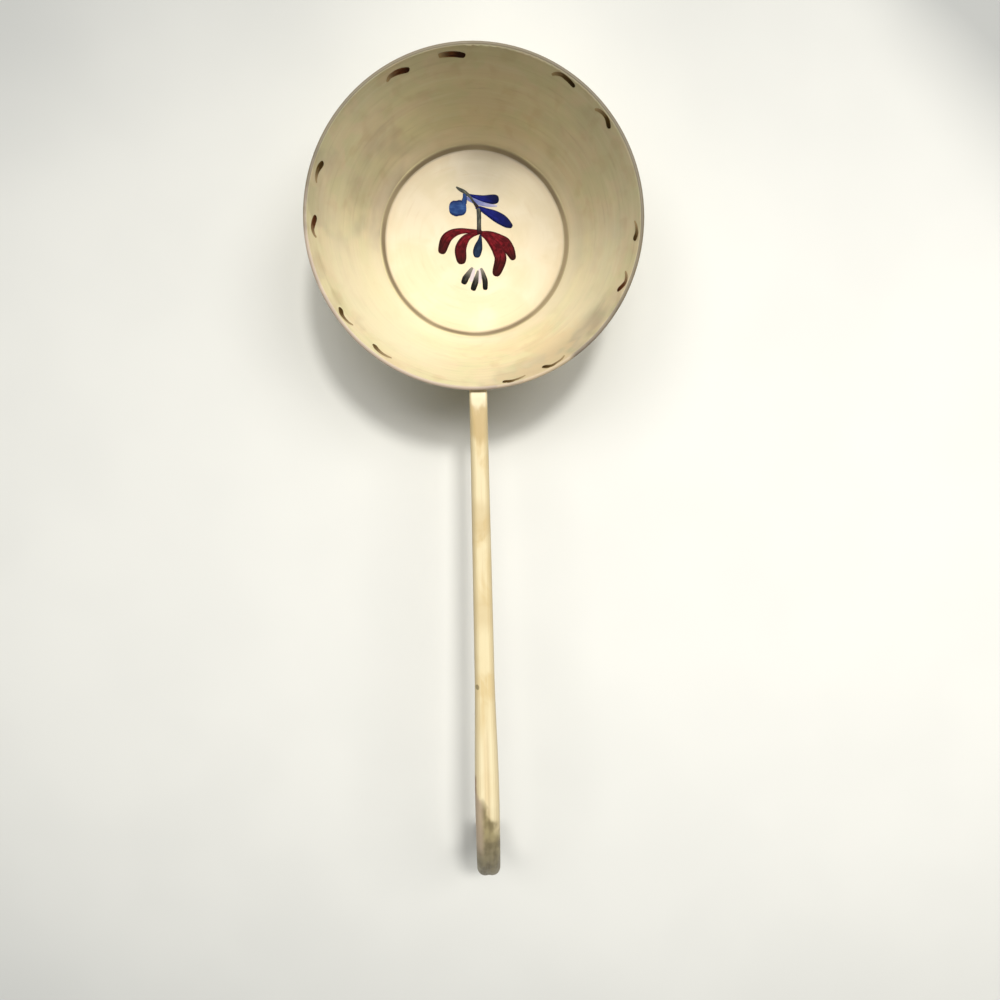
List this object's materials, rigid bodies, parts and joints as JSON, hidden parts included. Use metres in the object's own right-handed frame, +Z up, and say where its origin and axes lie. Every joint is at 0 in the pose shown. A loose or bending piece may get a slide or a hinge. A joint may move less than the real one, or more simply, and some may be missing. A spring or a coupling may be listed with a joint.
{
  "type": "dipper",
  "caption": "Painted tin dipper: a wide flared bowl with a wired rim on a long folded sheet handle ending in a hook, for scooping milk, cream or water.",
  "frame": {"origin": "centre of the base's underside, on the surface that the bowl stands on", "axes": "+Z up out of the bowl's mouth, -Y along the handle to its hook, +X to the right when the handle points at the viewer"},
  "size_m": [0.15, 0.3886, 0.0731],
  "materials": {
    "cream_paint": "semi-gloss enamel, brushed on",
    "cream_paint_floor": "semi-gloss enamel, brushed on",
    "ring_paint": "worn dark line over solder",
    "wire": "plain"
  },
  "bodies": {
    "root": {"bowl_wall": "cream_paint", "rim_wire": "wire", "bottom_disc": "cream_paint_floor", "bottom_solder": "ring_paint", "side_solder": "cream_paint", "handle": "cream_paint", "handle_solder": "cream_paint"}
  },
  "joints": []
}
